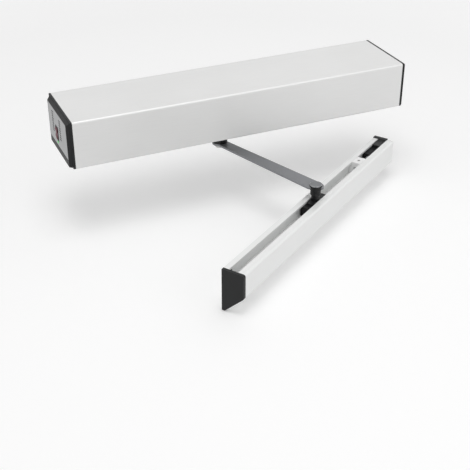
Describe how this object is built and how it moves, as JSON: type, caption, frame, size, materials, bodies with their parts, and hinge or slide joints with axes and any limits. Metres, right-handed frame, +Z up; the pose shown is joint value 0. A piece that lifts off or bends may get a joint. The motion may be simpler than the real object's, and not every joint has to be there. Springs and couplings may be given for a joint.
{
  "type": "swing door operator",
  "caption": "Wall-mounted swing door operator: a flat box with end caps drives a sliding arm whose slider runs in a channel fixed to the door leaf.",
  "frame": {"origin": "middle of the base plate's back, on the wall face", "axes": "X right along the operator as seen from the room, Y into the wall, Z up"},
  "size_m": [0.5758, 0.4076, 0.198],
  "materials": {
    "cover_aluminium": "satin",
    "chassis_steel": "satin",
    "cap_plastic": "matt",
    "channel_cap_plastic": "matt",
    "panel_plate": "satin",
    "switch_plastic": "gloss",
    "rocker_plastic": "gloss",
    "lens": "gloss",
    "screw_steel": "satin",
    "grommet_rubber": "matt",
    "cast_aluminium": "cast",
    "bearing_bronze": "satin",
    "ground_steel": "ground",
    "gear_steel": "satin",
    "gear_bronze": "satin",
    "hub_plastic": "matt",
    "arm_steel": "satin",
    "pin_steel": "dark",
    "slider_plastic": "matt",
    "channel_aluminium": "satin anodised",
    "stop_aluminium": "machined",
    "motor_windings": "varnished",
    "motor_steel": "satin",
    "magnet": "plated",
    "tube_steel": "zinc plated",
    "spring_steel": "oiled",
    "board_laminate": "solder mask",
    "component_plastic": "matt",
    "terminal_plastic": "matt",
    "standoff_brass": "satin"
  },
  "bodies": {
    "operator": {"base_plate": "chassis_steel", "cover": "cover_aluminium", "left_cap": "cap_plastic", "right_cap": "cap_plastic", "control_panel": "panel_plate", "switch_frame": "switch_plastic", "status_lens": "lens", "cap_screws": "screw_steel", "hub_insert": "cap_plastic", "cable_grommet": "grommet_rubber", "gearbox_housing": "cast_aluminium", "gearbox_lid": "cast_aluminium", "gearbox_screws": "screw_steel", "spindle_bushes": "bearing_bronze", "gear_axles": "ground_steel", "motor_stator": "motor_windings", "spring_tube": "tube_steel", "spring_saddle": "cast_aluminium", "spring_adjuster": "tube_steel", "supply_tray": "tube_steel", "supply_cover": "tube_steel", "control_board": "board_laminate", "board_parts": "component_plastic", "terminal_block": "terminal_plastic", "board_standoffs": "standoff_brass", "closing_spring": "spring_steel"},
    "arm_body": {"spindle": "ground_steel", "output_gear": "gear_bronze", "rack_pinion": "gear_steel", "spindle_hub": "hub_plastic", "arm": "arm_steel", "arm_washer": "screw_steel", "arm_screw": "screw_steel", "arm_pin": "pin_steel", "pin_sleeve": "hub_plastic", "pin_clip": "screw_steel"},
    "slider_body": {"slider_block": "slider_plastic"},
    "channel_body": {"channel": "channel_aluminium", "channel_free_cap": "channel_cap_plastic", "channel_hinge_cap": "channel_cap_plastic", "stop_block": "stop_aluminium", "stop_ring": "grommet_rubber", "stop_rod": "ground_steel", "stop_screw": "screw_steel"},
    "second_shaft": {"second_gear": "gear_bronze", "second_pinion": "gear_steel"},
    "first_shaft": {"first_gear": "gear_bronze", "first_pinion": "gear_steel"},
    "rotor": {"motor_rotor": "motor_steel", "motor_magnets": "magnet", "motor_shaft": "ground_steel", "motor_pinion": "gear_steel"},
    "rack": {"spring_rack": "gear_steel"},
    "switch_rocker": {"program_switch": "rocker_plastic"}
  },
  "joints": [
    {"name": "arm_swing", "type": "hinge", "parent": "operator", "child": "arm_body", "pos_m": [-0.023, -0.06, 0], "axis": [0, 0, 1], "range_deg": [-98, 35]},
    {"name": "slider_pivot", "type": "hinge", "parent": "arm_body", "child": "slider_body", "pos_m": [0.05107, -0.25811, -0.092], "axis": [0, 0, 1], "range_deg": [-30, 75]},
    {"name": "channel_slide", "type": "slide", "parent": "slider_body", "child": "channel_body", "axis": [0.829, 0.5592, 0], "range_m": [-0.112, 0.198]},
    {"name": "switch_tilt", "type": "hinge", "parent": "operator", "child": "switch_rocker", "pos_m": [-0.2864, -0.05912, -0.00284], "axis": [0, 1, 0], "range_deg": [-8, 8]},
    {"name": "second_shaft_spin", "type": "hinge", "parent": "operator", "child": "second_shaft", "pos_m": [0.02179, -0.048, -0.02], "axis": [0, 0, 1], "range_deg": [-110, 304]},
    {"name": "first_shaft_spin", "type": "hinge", "parent": "operator", "child": "first_shaft", "pos_m": [0.05351, -0.05954, -0.01], "axis": [0, 0, 1], "range_deg": [-1060, 380]},
    {"name": "rotor_spin", "type": "hinge", "parent": "operator", "child": "rotor", "pos_m": [0.08151, -0.05954, 0.01], "axis": [0, 0, 1], "range_deg": [-1390, 3880]},
    {"name": "rack_slide", "type": "slide", "parent": "operator", "child": "rack", "axis": [1, 0, 0], "range_m": [-0.0076, 0.0208], "deforming": ["closing_spring"]}
  ],
  "couplings": [
    {"joint": "second_shaft_spin", "follows": "arm_swing", "ratio": -3.0769},
    {"joint": "first_shaft_spin", "follows": "arm_swing", "ratio": 10.769},
    {"joint": "rotor_spin", "follows": "arm_swing", "ratio": -39.487},
    {"joint": "rack_slide", "follows": "arm_swing", "m_per_rad": -0.012}
  ]
}
